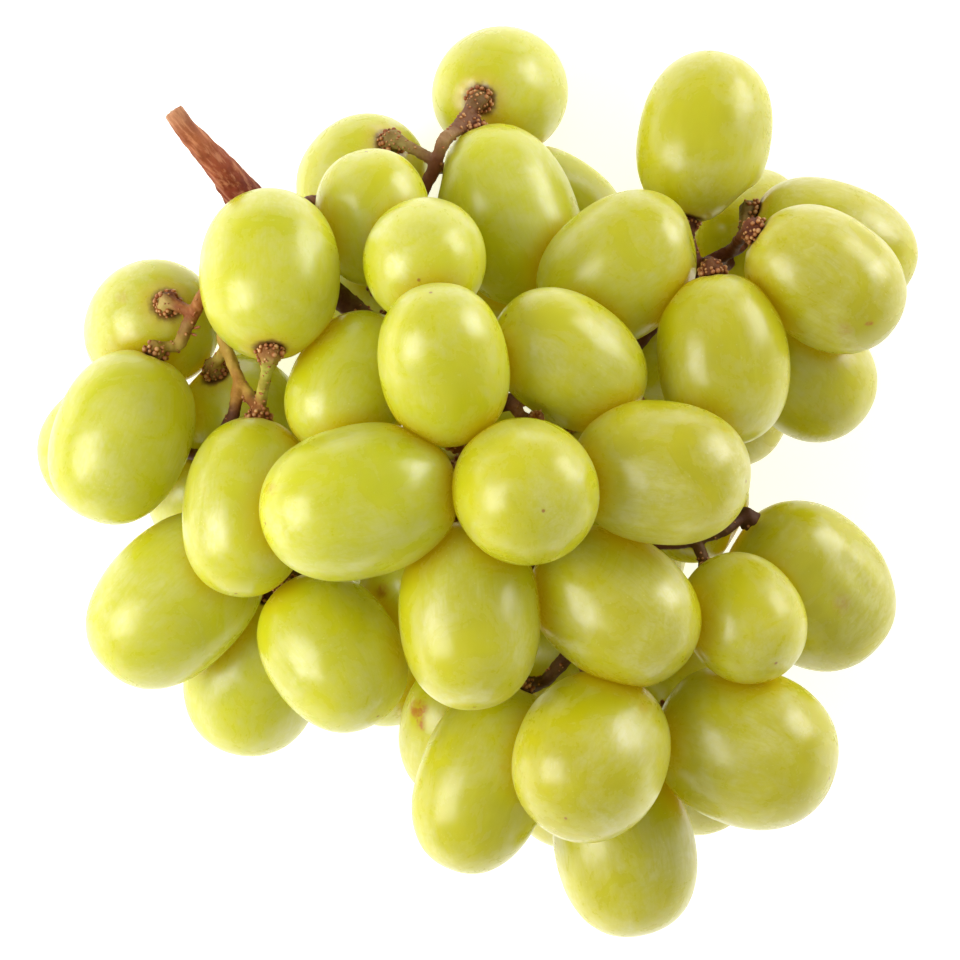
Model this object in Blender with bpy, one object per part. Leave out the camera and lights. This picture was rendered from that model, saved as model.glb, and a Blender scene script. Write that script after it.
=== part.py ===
"""A bunch of green seedless table grapes lying on a flat surface.

The frame is in metres with +Z up.  The bunch lies in the XY plane with its cut stalk at the far
left corner; design values below are millimetres, in a working frame whose origin is under the
middle of the bunch.  Every berry is one solid and the whole woody skeleton is one solid.
"""

import math
from math import cos, radians, sin

import bmesh
import bpy
import numpy as np
from mathutils import Vector

MM = 0.001

# Clearances and limits, in millimetres.
GAP = 0.30  # left between touching solids
SQUASH = 0.55  # how far two berries may press into each other while settling
FLOOR_PRESS = 0.60  # how far a resting berry is flattened by the surface
RESTING_BELOW = 14.5  # berries whose centre is meant to be this low lie on the surface

# Berry mesh.
BERRY_SEGMENTS = 14
BERRY_RINGS = 9
FULLNESS = 2.25  # exponent of the berry's profile, 2 is an exact ellipsoid
ROUNDING = 1.012  # makes up for the flat facets

# Skeleton proportions.
PEDICEL_R = 0.85
PEDICEL_ROOT_R = 1.0
RECEPTACLE_R = 1.9
RECEPTACLE_LENGTH = 1.5
DIMPLE = 0.45  # how deep the receptacle sits in the berry's end
PATH_POINTS = 5
PEDICEL_SIDES = 6
BRANCH_SIDES = 8
WELD = 1e-5  # metres
NUDGES = ((0, 0, 0), (0.03, 0.02, 0), (-0.02, 0.03, 0.02), (0.05, -0.03, 0.04), (-0.06, 0.04, 0.05))

# The berries: centre x, y, z, length, width, bearing and tilt of the stalk end, and the lateral
# that each one hangs on.  Bearing is counter-clockwise from +X and tilt is upwards.
BERRIES = {
    # upper left
    "berry_upper_left_front": (-30.2, 29.6, 46, 25.0, 20.0, -89, 28, "left"),
    "berry_left_top": (-48.3, 21.8, 24, 22.5, 19.3, 50, 68, "left"),
    "berry_left_front": (-51.9, 6.2, 37, 25.4, 19.7, 68, -2, "left"),
    "berry_left_back": (-54.0, 5.2, 17, 20.5, 18.8, 40, 30, "left_deep"),
    "berry_left_inner": (-35.5, 7.5, 28, 20.6, 18.4, 118, 34, "left"),
    "berry_left_lower_back": (-40.9, -1.7, 13, 19.8, 18.0, 100, 50, "left_deep"),
    # lower left
    "berry_lower_left_front": (-33.4, -4.1, 45, 26.0, 18.4, 83, -18, "left"),
    "berry_lower_left_tip": (-43.8, -17.4, 34, 28.2, 20.8, 45, -8, "low_left"),
    "berry_lower_left_hanging": (-33.6, -28.4, 22, 24.0, 20.0, 78, 18, "low_left"),
    "berry_lower_left_inner": (-20.6, -24.4, 42, 24.0, 19.2, 126, -22, "low_left"),
    "berry_lower_shadow": (-9.0, -15.5, 34, 19.5, 17.6, 60, 30, "tail"),
    "berry_lower_sliver": (-11.5, -29.5, 9, 18.0, 16.6, 40, 50, "tail"),
    # centre, the top of the heap
    "berry_centre_left": (-17.4, -3.1, 57, 28.4, 21.6, 13, -20, "middle"),
    "berry_centre_top": (-5.2, 16.5, 59, 24.0, 18.3, -80, -32, "middle"),
    "berry_centre_right": (7.0, -1.5, 60, 23.4, 20.3, 132, -72, "middle"),
    "berry_centre_low": (-1.5, -19.3, 52, 27.0, 20.0, 93, -16, "middle"),
    "berry_neck": (-18.6, 13.8, 45, 22.8, 16.8, 60, -30, "middle"),
    "berry_right_inner": (24.7, 2.0, 53, 25.4, 20.3, 174, -20, "middle"),
    "berry_right_upper": (12.8, 15.8, 46, 24.0, 18.0, -35, -24, "right"),
    # top
    "berry_top_end_on": (-8.3, 31.6, 46, 20.4, 17.4, 76, -72, "top"),
    "berry_top_inner": (-15.4, 38.1, 33, 19.8, 16.6, -84, -18, "top"),
    "berry_top_left_back": (-17.4, 44.2, 16, 20.6, 18.4, 50, 50, "top"),
    "berry_top_long": (3.2, 38.6, 29, 27.0, 19.8, 112, -8, "top"),
    "berry_top_right_back": (13.8, 40.4, 13, 23.0, 17.4, 146, 14, "top"),
    "berry_top": (3.8, 54.6, 14, 22.5, 19.4, 209, 72, "top"),
    "berry_top_right": (18.9, 28.8, 41, 25.2, 19.8, 218, -16, "right"),
    # right
    "berry_right_crown": (32.9, 50.2, 25, 25.4, 19.2, 258, 12, "right"),
    "berry_right_crown_back": (40.2, 37.0, 14, 19.5, 17.0, 230, 50, "right"),
    "berry_far_right_back": (51.5, 34.8, 21, 25.0, 17.6, 160, 8, "right"),
    "berry_far_right_front": (50.0, 29.1, 38, 24.0, 19.0, 146, 4, "right"),
    "berry_far_right_low": (48.0, 15.5, 26, 20.6, 18.2, 140, 20, "right"),
    "berry_right_front": (33.9, 18.3, 41, 24.6, 18.9, 97, -4, "right"),
    "berry_right_back": (37.1, 10.9, 12, 18.0, 16.6, 120, 40, "right"),
    # lower right
    "berry_lower_right_bright": (31.4, -5.4, 24, 18.0, 17.0, 150, 35, "low_right"),
    "berry_lower_right_back": (23.2, -10.8, 15, 18.0, 16.4, 90, 84, "low_right"),
    "berry_lower_right_inner": (19.3, -18.6, 47, 25.6, 20.3, 143, -16, "tail"),
    "berry_lower_right_round": (38.1, -20.0, 40, 20.0, 17.0, 125, -40, "low_right"),
    "berry_lower_right_tip": (46.7, -14.5, 25, 28.4, 22.0, 134, 24, "low_right"),
    # bottom
    "berry_bottom_left": (1.0, -42.9, 32, 28.0, 19.0, 69, -6, "tail"),
    "berry_bottom_left_back": (-4.5, -35.5, 17, 21.8, 17.4, 80, 28, "tail"),
    "berry_bottom_front": (15.5, -39.2, 45, 25.6, 21.8, 66, -44, "tail"),
    "berry_bottom_dark": (9.9, -26.8, 29, 18.5, 17.0, 60, 30, "tail"),
    "berry_bottom_right": (38.6, -38.6, 36, 26.6, 22.8, 160, -20, "tail"),
    "berry_bottom_tip": (21.2, -53.8, 29, 25.6, 20.3, 102, 4, "tail"),
    "berry_bottom_back": (31.9, -42.8, 14, 19.2, 17.4, 120, 40, "tail"),
    # seen only through the gaps
    "berry_top_shadow": (2.5, 26.1, 18, 18.5, 17.0, -80, 40, "right"),
    "berry_right_shadow": (23.2, 16.7, 21, 18.5, 17.0, 170, 40, "right"),
    "berry_neck_shadow": (-16.7, 26.4, 18, 19.0, 17.2, -60, 50, "neck"),
    # the hidden underside, which rests on the surface
    "berry_under_left": (-27.0, -12.0, 11, 20.5, 18.4, 50, 50, "low_left"),
    "berry_under_neck": (-20.5, 8.0, 12, 21.0, 18.6, 60, 50, "neck"),
    "berry_under_middle": (-2.5, 5.5, 12, 21.0, 19.0, 90, 60, "middle"),
    "berry_under_heart": (-5.0, -4.0, 29, 18.5, 16.8, 60, 60, "middle"),
    "berry_under_right": (15.5, 4.0, 12, 20.5, 18.6, 120, 60, "middle"),
    "berry_under_core": (14.5, -4.5, 30, 18.5, 16.8, 120, 60, "middle"),
    "berry_under_low": (6.0, -13.5, 12, 20.5, 18.4, 80, 50, "tail"),
    "berry_under_tail": (13.5, -44.5, 13, 20.5, 18.4, 80, 40, "tail"),
    "berry_under_tail_right": (29.0, -25.0, 12, 20.5, 18.4, 130, 80, "tail"),
    "berry_under_top": (22.0, 30.5, 10, 19.5, 17.6, 200, 50, "right"),
    "berry_under_stalk": (-31.5, 27.0, 12, 20.5, 18.4, 30, 60, "neck"),
}

# Berries whose place in plan is only loosely held while the bunch settles.
LOOSE = ("shadow", "sliver", "under", "back", "dark", "bright")

# The woody skeleton: each branch is a run of (x, y, z, radius).
BRANCHES = {
    "stalk": [
        (-44.3, 53.2, 41.0, 1.50),
        (-42.6, 50.9, 40.6, 1.50),
        (-40.2, 48.2, 39.6, 1.80),
        (-37.2, 44.9, 37.8, 2.20),
        (-34.4, 41.2, 35.0, 2.75),
        (-31.2, 37.4, 32.2, 2.95),
        (-27.6, 33.4, 31.2, 2.40),
        (-23.2, 29.0, 31.4, 1.75),
        (-18.3, 24.8, 32.6, 1.65),
        (-11.5, 18.8, 35.6, 1.60),
        (-4.6, 9.6, 38.4, 1.55),
        (1.0, 0.8, 39.0, 1.50),
        (6.0, -8.2, 38.2, 1.45),
        (10.0, -16.4, 36.2, 1.35),
        (13.8, -24.4, 33.2, 1.25),
        (18.4, -31.6, 29.6, 1.15),
        (22.6, -38.2, 25.6, 1.00),
    ],
    "left": [
        (-32.6, 36.6, 32.4, 1.60),
        (-37.0, 31.4, 35.4, 1.20),
        (-40.6, 25.8, 37.6, 1.00),
        (-42.4, 22.4, 37.4, 0.95),
        (-43.6, 19.4, 36.0, 0.90),
    ],
    "left_long": [
        (-32.2, 35.4, 32.2, 1.40),
        (-36.4, 27.4, 34.4, 0.90),
        (-37.4, 20.6, 36.6, 0.85),
        (-34.8, 14.4, 38.2, 0.85),
        (-32.0, 10.2, 38.6, 0.90),
    ],
    "left_deep": [
        (-34.8, 14.4, 38.2, 0.95),
        (-35.6, 9.6, 38.4, 0.90),
        (-39.2, 3.4, 34.0, 0.90),
        (-43.4, 4.0, 27.6, 0.85),
        (-45.6, 7.4, 23.6, 0.85),
    ],
    "low_left": [
        (-4.6, 9.6, 38.4, 1.40),
        (-12.0, 2.4, 38.4, 1.15),
        (-18.8, -6.4, 36.6, 1.05),
        (-25.0, -12.2, 32.6, 0.95),
        (-29.0, -15.2, 28.6, 0.90),
    ],
    "top": [
        (-31.0, 37.6, 32.2, 1.50),
        (-24.6, 40.4, 28.2, 1.20),
        (-17.0, 40.6, 25.4, 1.05),
        (-9.0, 40.8, 25.6, 1.00),
        (-6.8, 45.4, 27.4, 0.95),
        (-5.2, 50.0, 29.0, 0.95),
    ],
    "right": [
        (-4.6, 9.6, 38.4, 1.40),
        (4.6, 11.4, 35.6, 1.20),
        (14.0, 13.6, 33.6, 1.10),
        (21.8, 18.6, 31.2, 1.05),
        (27.2, 24.6, 27.6, 1.05),
        (31.8, 31.0, 28.4, 1.00),
        (38.2, 34.2, 30.4, 0.95),
    ],
    "low_right": [
        (6.0, -8.2, 38.2, 1.30),
        (14.6, -9.6, 36.6, 1.10),
        (22.6, -9.4, 34.6, 1.00),
        (29.8, -9.0, 33.6, 0.95),
        (35.6, -7.2, 33.2, 0.95),
    ],
    "tail_left": [
        (13.8, -24.4, 33.2, 1.15),
        (9.6, -29.2, 30.6, 0.95),
        (5.4, -31.4, 27.0, 0.90),
    ],
    "bare_twig": [
        (4.6, 11.4, 35.6, 1.10),
        (5.8, 9.4, 42.0, 0.80),
        (7.4, 8.2, 48.6, 0.80),
        (8.1, 8.8, 52.8, 1.25),
    ],
    "under_neck": [
        (-11.5, 18.8, 35.6, 1.20),
        (-12.0, 15.0, 28.0, 0.95),
        (-12.6, 12.6, 22.0, 0.90),
    ],
    "under_middle": [
        (1.0, 0.8, 39.0, 1.20),
        (4.8, 1.4, 31.0, 0.95),
        (5.4, 0.6, 23.0, 0.90),
    ],
}

# Which branches a berry may hang on.
REACH = {
    "left": ("left", "left_long"),
    "left_deep": ("left_deep",),
    "low_left": ("low_left",),
    "top": ("top",),
    "right": ("right",),
    "low_right": ("low_right",),
    "middle": ("stalk", "low_left", "right", "low_right", "under_middle"),
    "neck": ("stalk", "under_neck"),
    "tail": ("stalk", "tail_left", "low_left", "low_right"),
}
FIRST_BEARING_POINT = 6  # nothing hangs on the bare stalk before this point


def direction(bearing, tilt):
    b = radians(bearing)
    t = radians(tilt)
    return np.array([cos(b) * cos(t), sin(b) * cos(t), sin(t)])


def unit(v):
    return v / max(np.linalg.norm(v), 1e-9)


class Berry:
    """An ellipsoid of revolution about the axis that points to its stalk end."""

    def __init__(self, name, row):
        x, y, z, length, width, bearing, tilt, branch = row
        self.name = name
        self.centre = np.array([x, y, z], float)
        self.home = self.centre.copy()
        self.half = np.array([width / 2, width / 2, length / 2])
        self.axis = direction(bearing, tilt)
        self.branch = branch
        self.loose = any(word in name for word in LOOSE)
        self.resting = z < RESTING_BELOW
        self.cuts = []

    def rotation(self):
        quat = Vector((0, 0, 1)).rotation_difference(Vector(self.axis))
        return np.array(quat.to_matrix())

    def spread(self):
        """The matrix M with support distance sqrt(n.M.n) along any unit n."""
        a = self.half[0] ** 2
        b = self.half[2] ** 2
        return a * np.eye(3) + (b - a) * np.outer(self.axis, self.axis)

    def stalk_end(self, out=0.0):
        return self.centre + self.axis * (self.half[2] + out)


def support(spread, n):
    return math.sqrt(max(n @ spread @ n, 1e-9))


def all_supports(spreads, n):
    return np.sqrt(np.einsum("ki,kij,kj->k", n, spreads, n))


def separations(centres, spreads, first, second):
    """The widest separating gap of every pair and the direction it is along."""
    d = centres[second] - centres[first]
    n = d / np.linalg.norm(d, axis=1, keepdims=True)
    ma = spreads[first]
    mb = spreads[second]
    for _ in range(12):
        pull = np.einsum("kij,kj->ki", ma, n) / all_supports(ma, n)[:, None]
        pull += np.einsum("kij,kj->ki", mb, n) / all_supports(mb, n)[:, None]
        n = n + 0.05 * (d - pull)
        n /= np.linalg.norm(n, axis=1, keepdims=True)
    gap = np.einsum("ki,ki->k", d, n) - all_supports(ma, n) - all_supports(mb, n)
    return gap, n


def nearest_on_segment(p, a, b):
    ab = b - a
    t = float(np.clip((p - a) @ ab / max(ab @ ab, 1e-9), 0.0, 1.0))
    return a + t * ab, t


def branch_segments():
    for points in BRANCHES.values():
        for p, q in zip(points, points[1:]):
            yield np.array(p[:3]), np.array(q[:3]), max(p[3], q[3])


def push_off_branches(berry, spread, segments):
    """How far a berry must move to clear the woody skeleton."""
    move = np.zeros(3)
    for a, b, r in segments:
        p, _ = nearest_on_segment(berry.centre, a, b)
        d = berry.centre - p
        n = unit(d)
        lap = support(spread, n) + r + GAP - np.linalg.norm(d)
        if lap > 0.3:
            move += n * (lap - 0.3) * 0.6
    return move


def settle(berries, rounds=420):
    """Moves overlapping berries apart, off the branches and onto the surface."""
    segments = list(branch_segments())
    spreads = np.array([b.spread() for b in berries])
    first, second = np.triu_indices(len(berries), 1)
    low = np.array([support(m, np.array([0.0, 0.0, 1.0])) for m in spreads])
    for step in range(rounds):
        centres = np.array([b.centre for b in berries])
        gap, n = separations(centres, spreads, first, second)
        lap = np.maximum(-gap - SQUASH, 0.0)[:, None] * n * 0.42
        move = np.zeros_like(centres)
        np.add.at(move, first, -lap)
        np.add.at(move, second, lap)
        calm = step > rounds * 0.85
        for i, berry in enumerate(berries):
            berry.centre = berry.centre + move[i]
            if step % 2 == 0:
                berry.centre += push_off_branches(berry, spreads[i], segments)
            pull = 0.02 if calm else (0.04 if berry.loose else 0.14)
            berry.centre[:2] += (berry.home - berry.centre)[:2] * pull
            berry.centre[2] += (berry.home[2] - berry.centre[2]) * (0.004 if calm else 0.02)
            berry.centre[2] = max(berry.centre[2], low[i] - FLOOR_PRESS)
            if berry.resting:
                berry.centre[2] = low[i] - FLOOR_PRESS


def press(berries):
    """Gives every pair of touching berries a shared flat with a clearance in it."""
    centres = np.array([b.centre for b in berries])
    spreads = np.array([b.spread() for b in berries])
    first, second = np.triu_indices(len(berries), 1)
    gap, n = separations(centres, spreads, first, second)
    for i, j, g, m in zip(first, second, gap, n):
        if g < GAP + 0.2:
            half = (g - GAP - 0.1) / 2
            berries[i].cuts.append((m, support(spreads[i], m) + half))
            berries[j].cuts.append((-m, support(spreads[j], m) + half))


def anchor_choices(berry):
    """Points of the skeleton that this berry may hang on."""
    for name in REACH[berry.branch]:
        points = BRANCHES[name]
        start = FIRST_BEARING_POINT if name == "stalk" else 1
        for p, q in zip(points[start:], points[start + 1 :]):
            for k in range(4):
                t = k / 4
                yield np.array(p[:3]) * (1 - t) + np.array(q[:3]) * t
        yield np.array(points[-1][:3])


def clear_of_berries(points, own, berries, reach):
    """Pushes the inner points of a pedicel's path out of every berry."""
    for k in range(1, len(points) - 1):
        for other in berries:
            spare = reach * (0.4 if other is own else 1.0)
            rot = other.rotation_cache
            local = rot.T @ (points[k] - other.centre)
            size = other.half + spare
            level = np.linalg.norm(local / size)
            if level < 1.0:
                points[k] = other.centre + rot @ (local / max(level, 0.05))


def pedicel_path(berry, berries, used):
    """A free path from the skeleton to the berry's stalk end."""
    end = berry.stalk_end(-DIMPLE + GAP)
    lead = end + berry.axis * RECEPTACLE_LENGTH
    best = None
    for anchor in anchor_choices(berry):
        crowd = sum(max(0.0, 2.2 - np.linalg.norm(anchor - u)) for u in used)
        behind = max(0.0, -(anchor - lead) @ berry.axis)
        cost = np.linalg.norm(anchor - lead) + 0.8 * behind + 1.5 * crowd
        if best is None or cost < best[0]:
            best = (cost, anchor)
    anchor = best[1]
    used.append(anchor)
    reach = np.linalg.norm(anchor - lead)
    knee = lead + berry.axis * reach * 0.35
    points = []
    for k in range(PATH_POINTS):
        t = k / (PATH_POINTS - 1)
        points.append((1 - t) ** 2 * anchor + 2 * t * (1 - t) * knee + t * t * lead)
    for _ in range(40):
        clear_of_berries(points, berry, berries, PEDICEL_R + GAP + 0.2)
        for k in range(1, PATH_POINTS - 1):
            points[k] = 0.5 * points[k] + 0.25 * (points[k - 1] + points[k + 1])
    clear_of_berries(points, berry, berries, PEDICEL_R + GAP)
    radii = [PEDICEL_ROOT_R] + [PEDICEL_R] * (PATH_POINTS - 2) + [RECEPTACLE_R * 0.82]
    points.append(end)
    radii.append(RECEPTACLE_R)
    return points, radii


def cut_round_tubes(berries, pedicels):
    """Keeps every berry clear of every stretch of the skeleton by one plane each."""
    stretches = [(a, b, r, None) for a, b, r in branch_segments()]
    for owner, (points, radii) in pedicels.items():
        for k in range(len(points) - 1):
            own = owner if k >= len(points) - 3 else None
            r = max(radii[k], radii[k + 1])
            stretches.append((points[k], points[k + 1], r, own))
    for berry in berries:
        spread = berry.spread()
        for a, b, r, owner in stretches:
            if owner == berry.name:
                continue
            p, _ = nearest_on_segment(berry.centre, a, b)
            n = unit(p - berry.centre)
            level = min(n @ (a - berry.centre), n @ (b - berry.centre)) - r - GAP
            if level < support(spread, n):
                berry.cuts.append((n, level))
        end = (berry.stalk_end(-DIMPLE) - berry.centre) @ berry.axis
        berry.cuts.append((berry.axis, end))


def profile_point(direction_local, half):
    """The point of the berry's full-shouldered surface along a local direction."""
    x, y, z = direction_local
    ring = math.hypot(x, y)
    e = FULLNESS
    level = (abs(ring / half[0]) ** e + abs(z / half[2]) ** e) ** (1 / e)
    return np.array([x, y, z]) / level


def make_material(name, colour, roughness, coat=0.0):
    material = bpy.data.materials.new(name)
    material.use_nodes = True
    shader = material.node_tree.nodes["Principled BSDF"]
    shader.inputs["Base Color"].default_value = (*colour, 1.0)
    shader.inputs["Roughness"].default_value = roughness
    shader.inputs["Metallic"].default_value = 0.0
    shader.inputs["Coat Weight"].default_value = coat
    return material


def face_outwards(bm):
    bmesh.ops.recalc_face_normals(bm, faces=bm.faces[:])
    if bm.calc_volume(signed=True) < 0:
        bmesh.ops.reverse_faces(bm, faces=bm.faces[:])


def floor_cut(bm, centre_z):
    """Trims the solid on the surface, leaving a true flat for it to rest on."""
    bmesh.ops.bisect_plane(
        bm,
        geom=bm.verts[:] + bm.edges[:] + bm.faces[:],
        plane_co=(0, 0, -centre_z * MM),
        plane_no=(0, 0, -1),
        dist=1e-6,
        clear_outer=True,
    )
    rim = [e for e in bm.edges if e.is_boundary]
    if rim:
        bmesh.ops.contextual_create(bm, geom=rim)


def build_berry(berry, skin, collection):
    """One grape: a sphere drawn out to the berry's shape and flattened where it is pressed."""
    bm = bmesh.new()
    bmesh.ops.create_uvsphere(
        bm, u_segments=BERRY_SEGMENTS, v_segments=BERRY_RINGS, radius=1.0
    )
    rot = berry.rotation_cache
    for v in bm.verts:
        world = rot @ profile_point(v.co, berry.half * ROUNDING)
        shrink = 1.0
        for n, level in berry.cuts:
            out = n @ world
            if out > level:
                shrink = min(shrink, level / out)
        v.co = Vector(world * shrink * MM)
    low = min(v.co.z for v in bm.verts)
    if low < -berry.centre[2] * MM:
        floor_cut(bm, berry.centre[2])
    face_outwards(bm)
    mesh = bpy.data.meshes.new(berry.name)
    bm.to_mesh(mesh)
    bm.free()
    mesh.materials.append(skin)
    mesh.shade_smooth()
    body = bpy.data.objects.new(berry.name, mesh)
    body.location = Vector(berry.centre * MM)
    collection.objects.link(body)
    return body


def tube(name, points, radii, sides, collection):
    """A tapering round tube with closed ends along a run of points."""
    curve = bpy.data.curves.new(name, "CURVE")
    curve.dimensions = "3D"
    curve.bevel_depth = MM
    curve.bevel_resolution = (sides - 4) // 2
    curve.use_fill_caps = True
    spline = curve.splines.new("POLY")
    spline.points.add(len(points) - 1)
    for node, p, r in zip(spline.points, points, radii):
        node.co = (p[0] * MM, p[1] * MM, p[2] * MM, 1.0)
        node.radius = r
    holder = bpy.data.objects.new(name, curve)
    collection.objects.link(holder)
    depsgraph = bpy.context.evaluated_depsgraph_get()
    mesh = bpy.data.meshes.new_from_object(holder.evaluated_get(depsgraph))
    bpy.data.objects.remove(holder)
    bm = bmesh.new()
    bm.from_mesh(mesh)
    bmesh.ops.remove_doubles(bm, verts=bm.verts[:], dist=1e-6)
    bmesh.ops.recalc_face_normals(bm, faces=bm.faces[:])
    bm.to_mesh(mesh)
    bm.free()
    solid = bpy.data.objects.new(name, mesh)
    collection.objects.link(solid)
    return solid


def tidied(mesh):
    """The mesh with its slivers welded, or None if that leaves it open."""
    bm = bmesh.new()
    bm.from_mesh(mesh)
    bmesh.ops.remove_doubles(bm, verts=bm.verts[:], dist=WELD)
    bmesh.ops.dissolve_degenerate(bm, dist=WELD, edges=bm.edges[:])
    closed = all(e.is_manifold for e in bm.edges)
    if closed:
        face_outwards(bm)
        bm.to_mesh(mesh)
    bm.free()
    return mesh if closed else None


def unite(body, pieces):
    """Grows the pieces into the body as one solid, nudging any that meets it edge to edge."""
    for piece in pieces:
        join = body.modifiers.new(piece.name, "BOOLEAN")
        join.operation = "UNION"
        join.solver = "EXACT"
        join.object = piece
        for nudge in NUDGES:
            piece.location = Vector(nudge) * MM
            depsgraph = bpy.context.evaluated_depsgraph_get()
            joined = bpy.data.meshes.new_from_object(body.evaluated_get(depsgraph))
            mesh = tidied(joined)
            if mesh:
                break
        body.modifiers.remove(join)
        body.data = mesh or joined
        bpy.data.objects.remove(piece)


def build_stem(pedicels, wood, collection):
    """The stalk, its laterals and every pedicel, grown together."""
    pieces = []
    for name, run in BRANCHES.items():
        points = [np.array(p[:3]) for p in run]
        radii = [p[3] for p in run]
        pieces.append(tube(f"grow_{name}", points, radii, BRANCH_SIDES, collection))
    for name, (points, radii) in pedicels.items():
        pieces.append(tube(f"grow_{name}", points, radii, PEDICEL_SIDES, collection))
    body = pieces[0]
    body.name = "stem"
    unite(body, pieces[1:])
    body.data.name = "stem"
    body.data.materials.clear()
    body.data.materials.append(wood)
    body.data.shade_smooth()
    return body


def move_to_middle(objects):
    """Puts the origin under the middle of the whole bunch, on the surface."""
    bpy.context.view_layer.update()
    low = [1e9, 1e9]
    high = [-1e9, -1e9]
    for obj in objects:
        for v in obj.data.vertices:
            p = obj.matrix_world @ v.co
            for k in range(2):
                low[k] = min(low[k], p[k])
                high[k] = max(high[k], p[k])
    shift = Vector((-(low[0] + high[0]) / 2, -(low[1] + high[1]) / 2, 0.0))
    for obj in objects:
        obj.location += shift


def main():
    for obj in list(bpy.data.objects):
        bpy.data.objects.remove(obj, do_unlink=True)
    bunch = bpy.data.collections.new("bunch_of_grapes")
    bpy.context.scene.collection.children.link(bunch)
    skin = make_material("berry_skin", (0.56, 0.60, 0.10), 0.32, 0.25)
    wood = make_material("stem_wood", (0.25, 0.10, 0.045), 0.75)

    berries = [Berry(name, row) for name, row in BERRIES.items()]
    settle(berries)
    for berry in berries:
        berry.rotation_cache = berry.rotation()
    press(berries)
    pedicels = {}
    used = []
    for berry in berries:
        pedicels[berry.name] = pedicel_path(berry, berries, used)
    cut_round_tubes(berries, pedicels)

    objects = [build_stem(pedicels, wood, bunch)]
    for berry in berries:
        objects.append(build_berry(berry, skin, bunch))
    move_to_middle(objects)


main()
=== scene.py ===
"""Looks for the bunch of green grapes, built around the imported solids.

Each packed berry gives its own place, axis and size; a fine berry skin is grown there, and the
woody skeleton gets a fine bark with its receptacle beads.
"""

import math

import bmesh
import bpy
import numpy as np
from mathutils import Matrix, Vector, kdtree, noise


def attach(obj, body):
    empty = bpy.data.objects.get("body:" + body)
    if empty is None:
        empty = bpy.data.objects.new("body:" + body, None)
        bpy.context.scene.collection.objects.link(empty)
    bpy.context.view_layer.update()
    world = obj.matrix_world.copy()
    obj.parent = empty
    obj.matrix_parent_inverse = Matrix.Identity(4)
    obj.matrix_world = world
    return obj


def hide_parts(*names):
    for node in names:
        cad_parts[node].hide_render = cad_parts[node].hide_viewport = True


MM = 0.001
PROFILE = 2.25  # exponent of the berries' full-shouldered profile
CONTACT_ROUND = 0.55  # rounding of the edge of a pressed flat, in millimetres
AROUND = 72  # points around a berry
ALONG = 54  # points from tip to stalk end
TOUCH_GAP = 0.12  # clearance left between fine berries that press on each other
SHELTER_REACH = 0.42  # how far a neighbour's shade reaches, as a share of its size
FIT_STEPS = 60  # steps of the robust berry fit
FIT_COARSE_STEPS = 25  # the first of them forgive more
FIT_COARSE, FIT_FINE = 0.08, 0.004  # deviations from the smooth berry that are forgiven
HALF_WIDTHS = (6, 16)  # least and most half size of a berry, in millimetres
NEAR_CENTRES = 30  # berries whose centres are closer than this may press on each other
SHADE_CENTRES = 34  # berries whose centres are closer than this may shade each other
PRESS_GAP = 1.4  # berries closer than this share a flat
DENT_SHARE = 0.975  # a packed point below this share of the smooth berry is a dent
DENT_SPREAD = 0.30  # angular size of a dent, in radians
COARSE_LUMPS = (1.3, 0.011)  # scale and height of a skin's slow waviness
FINE_LUMPS = (4.2, 0.0028)  # scale and height of its quick waviness
VOXEL = 0.00026  # grain of the fine stem mesh, in metres
STALK_LENGTH = 34  # how far the stalk's own bark runs from the cut, in millimetres
STALK_ALONG = (0.66, -0.75, 0.0)  # the way the stalk runs
STALK_TURN = 48.6  # degrees that turn the stalk onto X
BEAD_ROWS = ((0.30, 1.92, 15), (0.85, 1.86, 9), (1.5, 1.45, 4))  # height, radius, count
BEAD_SIZES = (0.20, 0.42)
LOOSE_BEADS = 1700
LOOSE_SIZES = (0.12, 0.27)
REST_WOOD = (0.13, 0.042, 0.018)  # colour of the wood outside every region below
REST_WEIGHT = 0.03
SEED_STEPS = (5.37, 2.91, 1.73)  # how far each berry's patterns are shifted from the last one's

# Smudges on the skins: place in plan, radius (mm) and depth.
SMUDGES = (
    (52.6, 21.6, 1.9, 0.34),
    (56.0, 22.6, 0.5, 0.9),
    (-9.0, -33.6, 1.3, 1.0),
    (-8.6, -36.0, 0.7, 0.9),
    (52.5, -18.1, 2.2, 0.36),
    (-14.2, -16.0, 1.2, 0.6),
    (4.4, 11.7, 0.8, 0.9),
    (-29.6, -1.2, 1.4, 0.35),
    (23.4, -32.6, 1.2, 0.35),
    (-52.0, 26.5, 1.6, 0.3),
)
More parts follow.
